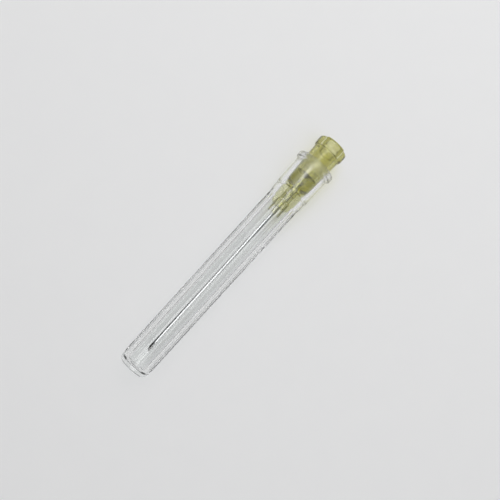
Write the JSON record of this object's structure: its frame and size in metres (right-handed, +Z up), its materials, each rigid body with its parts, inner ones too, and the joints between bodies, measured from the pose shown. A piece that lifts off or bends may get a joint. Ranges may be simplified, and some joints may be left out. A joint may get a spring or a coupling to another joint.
{
  "type": "hypodermic needle",
  "caption": "Hypodermic needle with a finned luer hub and a bevelled steel cannula, capped by a clear ribbed sheath that pulls off.",
  "frame": {"origin": "under the middle of the capped needle, on the surface that it lies on", "axes": "+X along the needle toward its hub, +Z up. The axis rises by 1.1 degrees toward the hub, as the sheath lies on its rim and on two of its ribs"},
  "size_m": [0.0618, 0.009, 0.0089],
  "materials": {
    "hub_polypropylene": "translucent yellow, moulded",
    "cannula_steel": "drawn stainless tube, bright",
    "cured_epoxy": "clear, glossy",
    "sheath_polypropylene": "clear, slightly hazy"
  },
  "bodies": {
    "needle": {"hub": "hub_polypropylene", "cannula": "cannula_steel", "adhesive_bead": "cured_epoxy"},
    "cap": {"sheath": "sheath_polypropylene"}
  },
  "joints": [
    {"name": "sheath_pull", "type": "slide", "parent": "needle", "child": "cap", "axis": [-0.9998, 0, -0.0186], "range_m": [0, 0.055]}
  ]
}
